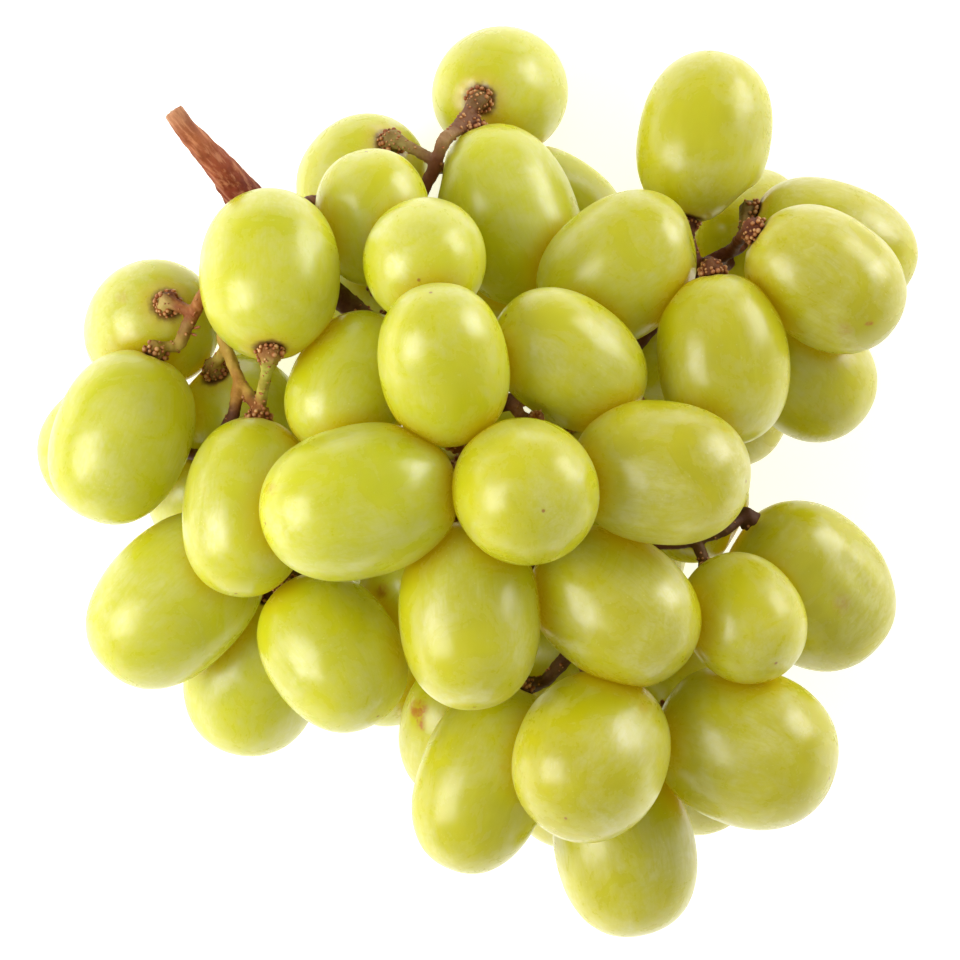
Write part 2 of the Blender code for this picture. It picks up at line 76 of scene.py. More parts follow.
# Regions of the woody skeleton with their own colour: place in plan, radius (mm), colour.
WOOD_TONES = (
    (-44.4, 53.4, 3.4, (0.44, 0.185, 0.085)),
    (-41.0, 49.0, 4.0, (0.40, 0.120, 0.045)),
    (-37.5, 45.0, 4.2, (0.29, 0.062, 0.026)),
    (-33.5, 40.5, 4.5, (0.18, 0.026, 0.016)),
    (-29.5, 36.5, 4.5, (0.12, 0.024, 0.014)),
    (-40.5, 25.5, 3.4, (0.38, 0.095, 0.024)),
    (-43.2, 22.0, 2.2, (0.26, 0.110, 0.035)),
    (-44.5, 20.0, 2.6, (0.48, 0.340, 0.060)),
    (-47.0, 24.0, 2.2, (0.58, 0.420, 0.130)),
    (-36.9, 19.0, 3.0, (0.75, 0.560, 0.110)),
    (-34.6, 13.8, 2.6, (0.66, 0.380, 0.075)),
    (-32.6, 11.0, 2.2, (0.34, 0.120, 0.040)),
    (-31.0, 14.0, 3.0, (0.62, 0.640, 0.110)),
    (-30.4, 18.0, 1.6, (0.46, 0.230, 0.070)),
    (-36.8, 7.0, 3.2, (0.13, 0.050, 0.025)),
    (-8.5, 50.8, 3.2, (0.36, 0.160, 0.065)),
    (-12.0, 48.6, 2.4, (0.40, 0.330, 0.100)),
    (-4.8, 50.0, 2.4, (0.40, 0.240, 0.110)),
    (-3.0, 52.4, 2.4, (0.22, 0.085, 0.045)),
    (-7.0, 45.0, 3.0, (0.20, 0.065, 0.035)),
    (33.5, 31.0, 4.5, (0.140, 0.038, 0.016)),
    (39.0, 34.5, 3.0, (0.170, 0.050, 0.020)),
    (36.5, -6.5, 4.5, (0.085, 0.034, 0.014)),
    (8.4, 9.7, 3.0, (0.42, 0.170, 0.070)),
    (-3.9, 3.5, 3.0, (0.40, 0.160, 0.050)),
    (10.9, -27.7, 3.0, (0.17, 0.085, 0.025)),
    (25.8, -30.6, 3.0, (0.24, 0.110, 0.045)),
)
# Small spurs and torn ends on the skeleton: place in plan, bearing, tilt, length and radius (mm).
SPURS = (
    (-40.6, 21.6, 15, 25, 1.3, 0.24),
    (-40.8, 20.8, -20, 20, 1.1, 0.22),
    (-41.4, 23.6, 60, 30, 0.9, 0.16),
    (-31.8, 12.6, -30, 30, 0.9, 0.22),
    (35.8, 31.0, -50, 10, 1.2, 0.26),
    (8.1, 8.8, 95, 50, 1.9, 0.22),
    (8.1, 8.8, 60, 40, 1.9, 0.20),
    (8.1, 8.8, 125, 45, 1.6, 0.22),
    (8.1, 8.8, 30, 60, 1.5, 0.18),
    (8.1, 8.8, 80, 65, 2.1, 0.16),
    (8.1, 8.8, 150, 35, 1.3, 0.20),
)
PLAN_SHIFT = (0.57, -0.45)  # from the plan of the lists above to the frame's, in millimetres
MARKED_HEIGHT = 14  # smudges only mark skin above this height, in millimetres

# Stage: softboxes as name, place, size, power and colour, all in metres and watts.
STAGE_MIDDLE = (0.0, 0.0, 0.035)
SOFTBOXES = (
    ("key", (-0.64, -0.06, 0.50), (0.54, 0.58), 6.1, (1.0, 0.99, 0.97)),
    ("side", (0.66, 0.46, 0.20), (0.50, 0.42), 4.0, (1.0, 1.0, 1.0)),
)
WORLD_LIGHT = 0.50
FLOOR_HALF = 3.0
FLOOR_GLOW = 0.58
CAMERA_AWAY = 1.05  # distance from the camera to the bunch's middle height
CAMERA_WIDE = 0.1392  # width of the view at that height
CAMERA_AIM = 0.036  # that height
SENSOR = 36.0


def plan_x(x):
    return x + PLAN_SHIFT[0]


def plan_y(y):
    return y + PLAN_SHIFT[1]


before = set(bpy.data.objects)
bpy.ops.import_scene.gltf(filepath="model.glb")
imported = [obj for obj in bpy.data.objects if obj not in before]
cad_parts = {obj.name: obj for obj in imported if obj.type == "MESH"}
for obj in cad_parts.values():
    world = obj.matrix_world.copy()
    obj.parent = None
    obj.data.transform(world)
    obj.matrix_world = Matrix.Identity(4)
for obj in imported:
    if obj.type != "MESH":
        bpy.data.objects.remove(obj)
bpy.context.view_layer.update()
rng = np.random.default_rng(20)


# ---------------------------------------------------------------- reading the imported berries


def welded(mesh):
    """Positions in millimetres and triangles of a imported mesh, with split corners merged."""
    co = np.array([v.co for v in mesh.vertices]) / MM
    mesh.calc_loop_triangles()
    tris = np.array([t.vertices for t in mesh.loop_triangles])
    keys = np.round(co, 3)
    _, first, back = np.unique(keys, axis=0, return_index=True, return_inverse=True)
    return co[first], back.reshape(-1)[tris]


def levels(points, p):
    """How far out each point is on the berry described by p, 1 being its surface."""
    d = points - p[:3]
    axis = p[3:6] / np.linalg.norm(p[3:6])
    z = d @ axis
    ring = np.sqrt(np.maximum((d * d).sum(1) - z * z, 1e-9))
    return ((ring / p[6]) ** PROFILE + (np.abs(z) / p[7]) ** PROFILE) ** (1 / PROFILE)


def fit_berry(points, axis):
    """Centre, axis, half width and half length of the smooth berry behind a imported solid."""
    middle = (points.min(0) + points.max(0)) / 2
    along = (points - middle) @ axis
    ring = np.linalg.norm(points - middle - along[:, None] * axis, axis=1)
    p = np.concatenate([middle, axis, [ring.max(), np.ptp(along) / 2]])
    for step in range(FIT_STEPS):
        blunt = FIT_COARSE if step < FIT_COARSE_STEPS else FIT_FINE
        r = levels(points, p) - 1
        w = 1 / (1 + (r / blunt) ** 2)
        jac = np.empty((len(points), 8))
        for k in range(8):
            q = p.copy()
            h = 1e-4
            q[k] += h
            jac[:, k] = (levels(points, q) - 1 - r) / h
        a = jac.T @ (jac * w[:, None]) + 1e-6 * np.eye(8)
        p = p - np.linalg.solve(a, jac.T @ (w * r))
        p[3:6] /= np.linalg.norm(p[3:6])
        p[6:] = np.clip(p[6:], *HALF_WIDTHS)
    return p


def poles(points, tris):
    """The two points of a packed berry where the most edges meet."""
    pairs = np.concatenate([tris[:, [0, 1]], tris[:, [1, 2]], tris[:, [2, 0]]])
    pairs = np.unique(np.sort(pairs, axis=1), axis=0)
    count = np.bincount(pairs.reshape(-1), minlength=len(points))
    order = np.argsort(-count, kind="stable")
    return points[order[0]], points[order[1]]


class Grape:
    def __init__(self, name, node, stem_tree):
        self.name = name
        self.points, tris = welded(node.data)
        middle = (self.points.min(0) + self.points.max(0)) / 2
        ends = poles(self.points, tris)
        first = stem_tree.find(Vector(ends[0]))[2]
        second = stem_tree.find(Vector(ends[1]))[2]
        root = ends[0] if first < second else ends[1]
        axis = root - middle
        p = fit_berry(self.points, axis / np.linalg.norm(axis))
        self.centre = p[:3]
        self.axis = p[3:6]
        self.half = np.array([p[6], p[6], p[7]])
        if self.axis @ (root - self.centre) < 0:
            self.axis = -self.axis
        self.planes = []

    def rotation(self):
        quat = Vector((0, 0, 1)).rotation_difference(Vector(self.axis))
        return np.array(quat.to_matrix())

    def spread(self):
        a, b = self.half[0] ** 2, self.half[2] ** 2
        return a * np.eye(3) + (b - a) * np.outer(self.axis, self.axis)


def separations(grapes):
    """For every near pair: its two indices, the gap between them and the direction across it."""
    c = np.array([g.centre for g in grapes])
    m = np.array([g.spread() for g in grapes])
    i, j = np.triu_indices(len(grapes), 1)
    near = np.linalg.norm(c[j] - c[i], axis=1) < NEAR_CENTRES
    i, j = i[near], j[near]
    d = c[j] - c[i]
    n = d / np.linalg.norm(d, axis=1, keepdims=True)
    for _ in range(14):
        ni = np.einsum("kij,kj->ki", m[i], n)
        nj = np.einsum("kij,kj->ki", m[j], n)
        hi = np.sqrt((n * ni).sum(1))[:, None]
        hj = np.sqrt((n * nj).sum(1))[:, None]
        n = n + 0.05 * (d - ni / hi - nj / hj)
        n /= np.linalg.norm(n, axis=1, keepdims=True)
    hi = np.sqrt((n * np.einsum("kij,kj->ki", m[i], n)).sum(1))
    hj = np.sqrt((n * np.einsum("kij,kj->ki", m[j], n)).sum(1))
    gap = (d * n).sum(1) - hi - hj
    return i, j, gap, n, hi, hj


def share_contacts(grapes):
    """Gives each pair that presses together one flat between them, as real berries have."""
    for i, j, gap, n, hi, hj in zip(*separations(grapes)):
        if gap < PRESS_GAP:
            give = (gap - TOUCH_GAP) / 2
            grapes[i].planes.append((n, hi + give))
            grapes[j].planes.append((-n, hj + give))
    for g in grapes:
        if g.centre[2] < g.half.max() + 1:
            g.planes.append((np.array([0.0, 0.0, -1.0]), g.centre[2]))


# ---------------------------------------------------------------- fine berry skins


def smooth_min(a, b, blend):
    h = np.clip(0.5 + 0.5 * (b - a) / blend, 0, 1)
    return b * (1 - h) + a * h - blend * h * (1 - h)


def reach(g, dirs):
    """How far the smooth pressed berry reaches along each world direction."""
    z = dirs @ g.axis
    ring = np.sqrt(np.maximum(1 - z * z, 0))
    r = ((ring / g.half[0]) ** PROFILE + (np.abs(z) / g.half[2]) ** PROFILE) ** (-1 / PROFILE)
    for n, level in g.planes:
        facing = dirs @ n
        cut = np.where(facing > 0.05, level / np.maximum(facing, 0.05), 1e3)
        r = smooth_min(r, np.minimum(cut, r + 3), CONTACT_ROUND)
    return r


def stem_dents(g):
    """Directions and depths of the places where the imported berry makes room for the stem."""
    d = g.points - g.centre
    far = np.linalg.norm(d, axis=1)
    dirs = d / far[:, None]
    share = far / reach(g, dirs)
    dented = (share < DENT_SHARE) & (dirs @ g.axis < 0.93)
    return dirs[dented], 1 - share[dented]


def lumps(dirs, scale, seed):
    return np.array([noise.noise(Vector(v) * scale + seed) for v in dirs])


def globe():
    """Unit directions of a berry's points: its stalk pole, rows of rings and its tip pole."""
    t = np.linspace(0, 1, ALONG + 1)[1:-1]
    theta = math.pi * (t - 0.5 * np.sin(2 * math.pi * t) / (2 * math.pi))
    phi = np.linspace(0, 2 * math.pi, AROUND, endpoint=False)
    th, ph = np.meshgrid(theta, phi, indexing="ij")
    rings = np.stack([np.sin(th) * np.cos(ph), np.sin(th) * np.sin(ph), np.cos(th)], -1)
    return np.concatenate([[[0, 0, 1.0]], rings.reshape(-1, 3), [[0, 0, -1.0]]])


def globe_faces():
    faces = []
    for a in range(ALONG - 2):
        for b in range(AROUND):
            c = (b + 1) % AROUND
            p, q = 1 + a * AROUND, 1 + (a + 1) * AROUND
            faces.append((p + b, q + b, q + c, p + c))
    last = 1 + (ALONG - 1) * AROUND
    for b in range(AROUND):
        c = (b + 1) % AROUND
        faces.append((0, 1 + b, 1 + c))
        faces.append((last, last - AROUND + c, last - AROUND + b))
    return faces


def pole_relief(co, top, index):
    """Height added at the poles: the dimple of the stalk end and the style scar of the tip."""
    ring = np.hypot(co[:, 0], co[:, 1])
    angle = np.arctan2(co[:, 1], co[:, 0])
    shoulder = np.exp(-(((ring - 2.9) / 1.0) ** 2))
    sink = -0.5 * np.exp(-((ring / 2.0) ** 2)) + 0.05 * shoulder * np.sin(7 * angle + index)
    scar = 0.10 * np.exp(-((ring / 0.35) ** 2)) - 0.10 * np.exp(-((ring / 0.8) ** 2))
    return np.where(top, sink, -scar)


def skin_mesh(g, index):
    """The fine skin, with every point's place in the berry's own frame (+Z to the stalk end)."""
    local = globe()
    dirs = local @ g.rotation().T
    r = reach(g, dirs)
    for n, depth in zip(*stem_dents(g)):
        away = np.arccos(np.clip(dirs @ n, -1, 1))
        r = r * (1 - depth * np.exp(-((away / DENT_SPREAD) ** 2)))
    seed = Vector((index * 7.31, index * 3.17, 2.0))
    (slow, high), (quick, low) = COARSE_LUMPS, FINE_LUMPS
    r = r * (1 + high * lumps(local, slow, seed) + low * lumps(local, quick, seed))
    co = local * r[:, None]
    co[:, 2] += pole_relief(co, local[:, 2] > 0, index)
    turned = co @ g.rotation().T
    mesh = bpy.data.meshes.new(g.name + "_skin")
    mesh.from_pydata((turned * MM).tolist(), [], globe_faces())
    mesh.shade_smooth()
    paint_vector(mesh, "berry_place", co * MM)
    return mesh, turned + g.centre


def paint(mesh, name, values):
    """Stores one number at every point of a mesh for its material to read."""
    layer = mesh.attributes.new(name, "FLOAT", "POINT")
    layer.data.foreach_set("value", np.asarray(values, np.float32))


def paint_vector(mesh, name, values):
    """Stores three numbers at every point of a mesh for its material to read."""
    layer = mesh.attributes.new(name, "FLOAT_VECTOR", "POINT")
    layer.data.foreach_set("vector", np.asarray(values, np.float32).reshape(-1))


def shade_mask(g, points, grapes):
    """How closely other berries press on each point of the skin, 0 in the open and 1 at a contact:
    the mask of the painted shade and painted emission between berries.
    """
    closest = np.full(len(points), 9.0)
    for other in grapes:
        if other is g or np.linalg.norm(other.centre - g.centre) > SHADE_CENTRES:
            continue
        p = np.concatenate([other.centre, other.axis, other.half[1:]])
        closest = np.minimum(closest, levels(points, p))
    return np.clip((1.0 + SHELTER_REACH - closest) / SHELTER_REACH, 0, 1)


def mark_strength(points):
    """The listed smudges on the upper skins, by their place in plan."""
    total = np.zeros(len(points))
    for x, y, radius, depth in SMUDGES:
        flat = ((points[:, 0] - plan_x(x)) ** 2 + (points[:, 1] - plan_y(y)) ** 2) / radius**2
        total = np.maximum(total, depth * np.exp(-flat) * (points[:, 2] > MARKED_HEIGHT))
    return total


def add_skin(g, index, grapes, material):
    mesh, points = skin_mesh(g, index)
    count = len(mesh.vertices)
    paint(mesh, "shade_mask", shade_mask(g, points, grapes))
    paint(mesh, "smudge", mark_strength(points))
    # Painted shade: berries further right and lower get the darker, more golden flesh, standing in
    # for the shade on that side; a random riper tone per berry is added.
    side = np.clip((g.centre[0] - 0.35 * g.centre[1] + 8) / 34, 0, 1)
    paint(mesh, "ripeness_and_side_shade", np.full(count, 0.72 * side + rng.uniform(0, 0.28)))
    paint(mesh, "marks", np.full(count, rng.uniform(0, 1)))
    paint(mesh, "seed", np.full(count, float(index)))
    mesh.materials.append(material)
    skin = bpy.data.objects.new(g.name + "_skin", mesh)
    bpy.context.scene.collection.objects.link(skin)
    skin.location = Vector(g.centre) * MM
    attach(skin, "root")
    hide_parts(g.name)
    return skin


# ---------------------------------------------------------------- node helpers


class Nodes:
    """Small helper for writing material node trees."""

    def __init__(self, name):
        self.material = bpy.data.materials.new(name)
        self.material.use_nodes = True
        self.tree = self.material.node_tree
        self.shader = self.tree.nodes["Principled BSDF"]

    def add(self, kind, **settings):
        node = self.tree.nodes.new(kind)
        for key, value in settings.items():
            setattr(node, key, value)
        return node

    def link(self, source, target):
        self.tree.links.new(source, target)

    def put(self, socket, value):
        if isinstance(value, bpy.types.NodeSocket):
            self.link(value, socket)
        elif isinstance(value, (tuple, list)) and len(value) == 3 and socket.type == "RGBA":
            socket.default_value = (*value, 1.0)
        else:
            socket.default_value = value

    def number(self, name):
        return self.add("ShaderNodeAttribute", attribute_name=name).outputs["Fac"]

    def vector(self, name):
        return self.add("ShaderNodeAttribute", attribute_name=name).outputs["Vector"]

    def stretched(self, where, scale):
        node = self.add("ShaderNodeMapping")
        self.put(node.inputs["Vector"], where)
        node.inputs["Scale"].default_value = scale
        return node.outputs[0]

    def maths(self, operation, a, b=0.0, c=0.0, clamp=False):
        node = self.add("ShaderNodeMath", operation=operation, use_clamp=clamp)
        for socket, value in zip(node.inputs, (a, b, c)):
            self.put(socket, value)
        return node.outputs[0]

    def ramp(self, value, low, high, out_low=0.0, out_high=1.0, smooth=True):
        kind = "SMOOTHSTEP" if smooth else "LINEAR"
        node = self.add("ShaderNodeMapRange", interpolation_type=kind)
        for socket, v in zip(node.inputs, (value, low, high, out_low, out_high)):
            self.put(socket, v)
        return node.outputs[0]

    def mix(self, share, a, b, blend="MIX"):
        node = self.add("ShaderNodeMix", data_type="RGBA", blend_type=blend, clamp_result=True)
        self.put(node.inputs[0], share)
        self.put(node.inputs[6], a)
        self.put(node.inputs[7], b)
        return node.outputs[2]

    def noise(self, where, scale, detail=3.0, rough=0.55, distortion=0.0):
        node = self.add("ShaderNodeTexNoise")
        self.put(node.inputs["Vector"], where)
        node.inputs["Scale"].default_value = scale
        node.inputs["Detail"].default_value = detail
        node.inputs["Roughness"].default_value = rough
        node.inputs["Distortion"].default_value = distortion
        return node.outputs["Fac"]

    def bump(self, height, strength, distance):
        node = self.add("ShaderNodeBump")
        node.inputs["Strength"].default_value = strength
        node.inputs["Distance"].default_value = distance
        self.put(node.inputs["Height"], height)
        return node.outputs["Normal"]


def berry_space(n):
    """A point's noise place (cm, different on every berry), ring radius (mm) and stalk half."""
    place = n.vector("berry_place")
    seed = n.number("seed")
    offset = n.add("ShaderNodeCombineXYZ")
    for socket, step in zip(offset.inputs, SEED_STEPS):
        n.put(socket, n.maths("MULTIPLY", seed, step))
    shift = n.add("ShaderNodeVectorMath", operation="MULTIPLY_ADD")
    n.put(shift.inputs[0], place)
    shift.inputs[1].default_value = (100.0, 100.0, 100.0)
    n.put(shift.inputs[2], offset.outputs[0])
    parts = n.add("ShaderNodeSeparateXYZ")
    n.put(parts.inputs[0], place)
    x, y, z = parts.outputs
    ring = n.maths("SQRT", n.maths("ADD", n.maths("MULTIPLY", x, x), n.maths("MULTIPLY", y, y)))
    ring = n.maths("MULTIPLY", ring, 1000.0)
    return shift.outputs[0], ring, n.maths("GREATER_THAN", z, 0.0)


def flesh_colour(n, clouds, streaks, crowd_shade):
    """Yellow-green flesh, darker and more golden towards the right of the bunch (painted shade on
    that side, over a random riper tone per berry), with ochre painted shade between crowded ones.
    """
    ripe_and_side_shade = n.number("ripeness_and_side_shade")
    green = n.mix(ripe_and_side_shade, (0.520, 0.530, 0.008), (0.440, 0.405, 0.002))
    deep = n.mix(ripe_and_side_shade, (0.470, 0.485, 0.002), (0.390, 0.355, 0.000))
    base = n.mix(n.ramp(clouds, 0.35, 0.68), green, deep)
    base = n.mix(n.ramp(streaks, 0.48, 0.76, 0.0, 0.26), base, (0.570, 0.565, 0.050))
    # Painted shade: ochre where neighbouring berries press close.
    return n.mix(crowd_shade, base, (0.420, 0.335, 0.000))


def waxy_bloom(n, spot, drawn, crowd_shade):
    """Share of the skin's wax that is left: rubbed off in patches, wiped off in streaks, and taken
    away under the painted shade where berries press close.
    """
    bloom = n.ramp(n.noise(spot, 1.15, 5.0, 0.60, 0.7), 0.36, 0.66)
    rubbed = n.ramp(n.noise(spot, 5.5, 4.0, 0.6, 0.9), 0.28, 0.64, 0.35, 1.0)
    wiped = n.ramp(n.noise(drawn, 5.0, 4.0, 0.6, 0.6), 0.28, 0.62, 0.45, 1.0)
    bloom = n.maths("MULTIPLY", bloom, n.maths("MULTIPLY", rubbed, wiped))
    return n.maths("MULTIPLY", bloom, n.maths("SUBTRACT", 1.0, crowd_shade))


def lenticels(n, spot, clouds, base):
    """Pale specks under the skin."""
    cells = n.add("ShaderNodeTexVoronoi", feature="F1")
    n.put(cells.inputs["Vector"], spot)
    cells.inputs["Scale"].default_value = 8.5
    speck = n.ramp(cells.outputs["Distance"], 0.05, 0.13, 1.0, 0.0)
    speck = n.maths("MULTIPLY", speck, n.ramp(clouds, 0.4, 0.6))
    return n.mix(n.maths("MULTIPLY", speck, 0.36), base, (0.70, 0.69, 0.24))


def russet(n, spot, base):
    """Brown smudges where they are placed and faint blotches at random; also the smudges' share."""
    torn = n.ramp(n.noise(spot, 9.0, 4.0, 0.7, 0.8), 0.38, 0.56)
    smudge = n.ramp(n.number("smudge"), 0.12, 0.60)
    smudge = n.maths("MULTIPLY", smudge, n.maths("MULTIPLY_ADD", torn, 0.7, 0.3))
    base = n.mix(n.maths("MULTIPLY", smudge, 0.92), base, (0.46, 0.165, 0.015))
    blotch = n.ramp(n.noise(spot, 2.1, 3.0, 0.6, 0.4), 0.70, 0.78)
    blotch = n.maths("MULTIPLY", blotch, n.ramp(n.number("marks"), 0.55, 0.9))
    return n.mix(n.maths("MULTIPLY", blotch, 0.30), base, (0.46, 0.30, 0.03)), smudge


def berry_ends(n, ring, top, fine, base):
    """Brown calyx ring with its halo at the stalk end, and the style dot at the tip."""
    ragged = n.maths("ADD", ring, n.maths("MULTIPLY", n.maths("SUBTRACT", fine, 0.5), 1.3))
    calyx = n.maths("MULTIPLY", n.ramp(ragged, 1.9, 3.1, 1.0, 0.0), top)
    halo = n.maths("MULTIPLY", n.ramp(ragged, 2.6, 5.2, 1.0, 0.0), top)
    tip = n.maths("SUBTRACT", 1.0, top)
    dot = n.maths("MULTIPLY", n.ramp(ring, 0.14, 0.36, 0.85, 0.0), tip)
    base = n.mix(n.maths("MULTIPLY", halo, 0.5), base, (0.60, 0.42, 0.06))
    base = n.mix(n.maths("MULTIPLY", calyx, 0.9), base, (0.22, 0.09, 0.02))
    return n.mix(dot, base, (0.30, 0.10, 0.01)), calyx, dot


def grape_material():
    n = Nodes("grape_skin")
    spot, ring, top = berry_space(n)
    drawn = n.stretched(spot, (3.2, 3.2, 0.45))
    streaks = n.noise(drawn, 1.7, 4.0, 0.6, 0.3)
    clouds = n.noise(spot, 0.9, 3.0, 0.5)
    fine = n.noise(spot, 14.0, 4.0, 0.65)
    # Mask of the painted shade and painted emission where berries press close.
    crowd_shade = n.ramp(n.number("shade_mask"), 0.15, 1.0, 0.0, 0.80)
    bloom = waxy_bloom(n, spot, drawn, crowd_shade)

    base = flesh_colour(n, clouds, streaks, crowd_shade)
    base = n.mix(n.maths("MULTIPLY", bloom, 0.30), base, (0.650, 0.640, 0.400))
    base = lenticels(n, spot, clouds, base)
    base, smudge = russet(n, spot, base)
    base, calyx, dot = berry_ends(n, ring, top, fine, base)
    opaque = n.maths("MAXIMUM", smudge, n.maths("MAXIMUM", dot, calyx))
    rough = n.ramp(bloom, 0.0, 1.0, 0.26, 0.40, smooth=False)
    rough = n.maths("ADD", rough, n.maths("MULTIPLY", calyx, 0.2))
    # Painted light: a faint yellow emission over all the skin, stronger and more orange where
    # berries press close, standing in for light carried through the flesh; none on the opaque
    # marks.
    painted_glow = n.maths("MULTIPLY_ADD", crowd_shade, 0.055, 0.058)
    painted_glow = n.maths("MULTIPLY", painted_glow, n.maths("SUBTRACT", 1.0, opaque))
    waxed = n.maths("MULTIPLY_ADD", bloom, -0.20, 1.0)
    depth = n.maths("MULTIPLY_ADD", opaque, -0.85, waxed, clamp=True)
    height = n.maths("ADD", n.maths("MULTIPLY", streaks, 0.5), n.maths("MULTIPLY", fine, 0.12))

    sockets = n.shader.inputs
    n.put(sockets["Base Color"], base)
    n.put(sockets["Roughness"], rough)
    n.put(sockets["IOR"], 1.50)
    n.put(sockets["Specular IOR Level"], 0.40)
    n.put(sockets["Emission Color"], n.mix(crowd_shade, (0.95, 0.95, 0.0), (1.0, 0.62, 0.0)))
    n.put(sockets["Emission Strength"], painted_glow)
    n.put(sockets["Subsurface Weight"], depth)
    n.put(sockets["Subsurface Radius"], (1.0, 0.74, 0.10))
    n.put(sockets["Subsurface Scale"], 0.0110)
    n.put(sockets["Coat Weight"], n.maths("MULTIPLY_ADD", bloom, 0.75, 0.25))
    n.put(sockets["Coat Roughness"], 0.34)
    n.put(sockets["Coat IOR"], 1.6)
    n.put(sockets["Normal"], n.bump(height, 0.25, 0.0003))
    return n.material


# ---------------------------------------------------------------- the woody skeleton


def fine_stem_mesh(node):
    """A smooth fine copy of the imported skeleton."""
    work = bpy.data.objects.new("stem_work", node.data.copy())
    bpy.context.scene.collection.objects.link(work)
    weld = work.modifiers.new("weld", "WELD")
    weld.merge_threshold = 1e-6
    remesh = work.modifiers.new("remesh", "REMESH")
    remesh.mode = "VOXEL"
    remesh.voxel_size = VOXEL
    relax = work.modifiers.new("relax", "SMOOTH")
    relax.factor = 0.5
    relax.iterations = 7
    depsgraph = bpy.context.evaluated_depsgraph_get()
    mesh = bpy.data.meshes.new_from_object(work.evaluated_get(depsgraph))
    bpy.data.objects.remove(work)
    mesh.name = "stem_bark"
    return mesh


def stem_tones(points, grapes):
    """Per point: how far from the cut end, how near a receptacle, and which berry's it is."""
    cut = points[np.argmin(points[:, 0] - points[:, 1])]
    from_cut = np.linalg.norm(points - cut, axis=1)
    tree = kdtree.KDTree(len(grapes))
    for k, g in enumerate(grapes):
        tree.insert(Vector(g.centre + g.axis * g.half[2]), k)
    tree.balance()
    near = np.empty(len(points))
    owner = np.empty(len(points), int)
    for k, p in enumerate(points):
        _, owner[k], near[k] = tree.find(Vector(p))
    return from_cut, near, owner


def wood_colours(points):
    """Blends the listed regional colours into the tone of the rest of the wood."""
    total = np.full(len(points), REST_WEIGHT)
    blend = np.tile(np.array(REST_WOOD) * REST_WEIGHT, (len(points), 1))
    for x, y, radius, colour in WOOD_TONES:
        flat = ((points[:, 0] - plan_x(x)) ** 2 + (points[:, 1] - plan_y(y)) ** 2) / radius**2
        share = np.exp(-flat * 2.0)
        total += share
        blend += share[:, None] * np.array(colour)
    return blend / total[:, None]


def bark_relief(co, from_cut):
    """How far the bark swells at each point: wrinkled on the branches, fibrous on the stalk."""
    stalk = np.clip((STALK_LENGTH - from_cut) / 10, 0, 1)
    wrinkle = lumps(co, 1.6, Vector((3, 1, 4)))
    coarse = lumps(co, 0.55, Vector((9, 2, 6)))
    along = np.array(STALK_ALONG)
    across = co - np.outer(co @ along, along) * 0.9
    fibre = lumps(across, 2.6, Vector((1, 5, 2)))
    return 0.10 + 0.10 * coarse + 0.09 * wrinkle * (1 - stalk) + 0.16 * fibre * stalk


def add_stem(node, grapes, bark, corky):
    mesh = fine_stem_mesh(node)
    co = np.array([v.co for v in mesh.vertices]) / MM
    normals = np.array([v.normal for v in mesh.vertices])
    from_cut, near, owner = stem_tones(co, grapes)
    co = co + normals * bark_relief(co, from_cut)[:, None]
    mesh.vertices.foreach_set("co", (co * MM).reshape(-1).astype(np.float32))
    mesh.update()
    greens = rng.uniform(0, 1, len(grapes))
    paint(mesh, "from_cut", from_cut)
    paint(mesh, "greenness", greens[owner] * np.clip((9 - near) / 4, 0, 1))
    paint_vector(mesh, "wood_tone", wood_colours(co))
    mesh.materials.clear()
    mesh.materials.append(bark)
    mesh.shade_smooth()
    stem = bpy.data.objects.new("stem_bark", mesh)
    bpy.context.scene.collection.objects.link(stem)
    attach(stem, "root")
    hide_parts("stem")
    add_beads(co, normals, near, grapes, corky)


def crown_beads(grapes):
    """Rows of beads round every receptacle: places, outward directions and sizes."""
    spots, outs, sizes = [], [], []
    for g in grapes:
        rot = g.rotation()
        base = g.centre + g.axis * (g.half[2] - 0.15)
        for row, (up, radius, count) in enumerate(BEAD_ROWS):
            turn = rng.uniform(0, 6.28)
            for k in range(count):
                a = turn + 2 * math.pi * (k + rng.uniform(-0.25, 0.25)) / count
                out = rot @ np.array([math.cos(a), math.sin(a), 0.25 * row])
                r = radius * rng.uniform(0.92, 1.06)
                lift = up + rng.uniform(-0.15, 0.15)
                round_it = rot @ np.array([math.cos(a), math.sin(a), 0])
                spots.append(base + g.axis * lift + round_it * r)
                outs.append(out)
                sizes.append(rng.uniform(*BEAD_SIZES))
    return spots, outs, sizes


def loose_beads(points, normals, near):
    """Beads scattered over the pedicels, denser near the berries."""
    chance = np.exp(-np.clip(near - 2.2, 0, None) / 2.6)
    chance = np.where((near > 1.6) & (near < 16), chance + 0.05, 0.0)
    picks = rng.choice(len(points), LOOSE_BEADS, replace=False, p=chance / chance.sum())
    sizes = [rng.uniform(*LOOSE_SIZES) for _ in picks]
    return [points[k] for k in picks], [normals[k] for k in picks], sizes


def spur_beads(points):
    """Spurs as long drawn-out beads that start at the highest wood near their place in plan."""
    spots, outs, sizes, stretch = [], [], [], []
    for x, y, bearing, tilt, length, radius in SPURS:
        near_plan = np.hypot(points[:, 0] - plan_x(x), points[:, 1] - plan_y(y))
        root = points[np.argmax(points[:, 2] - 6.0 * near_plan)]
        b, t = math.radians(bearing), math.radians(tilt)
        out = np.array([math.cos(b) * math.cos(t), math.sin(b) * math.cos(t), math.sin(t)])
        spots.append(root + out * length * 0.45)
        outs.append(out)
        sizes.append(radius)
        stretch.append(length / 2 / radius - 1)
    return spots, outs, sizes, stretch


def unit_ball():
    ball = bmesh.new()
    bmesh.ops.create_icosphere(ball, subdivisions=2, radius=1.0)
    shape = np.array([v.co for v in ball.verts])
    sides = np.array([[v.index for v in f.verts] for f in ball.faces])
    ball.free()
    return shape, sides


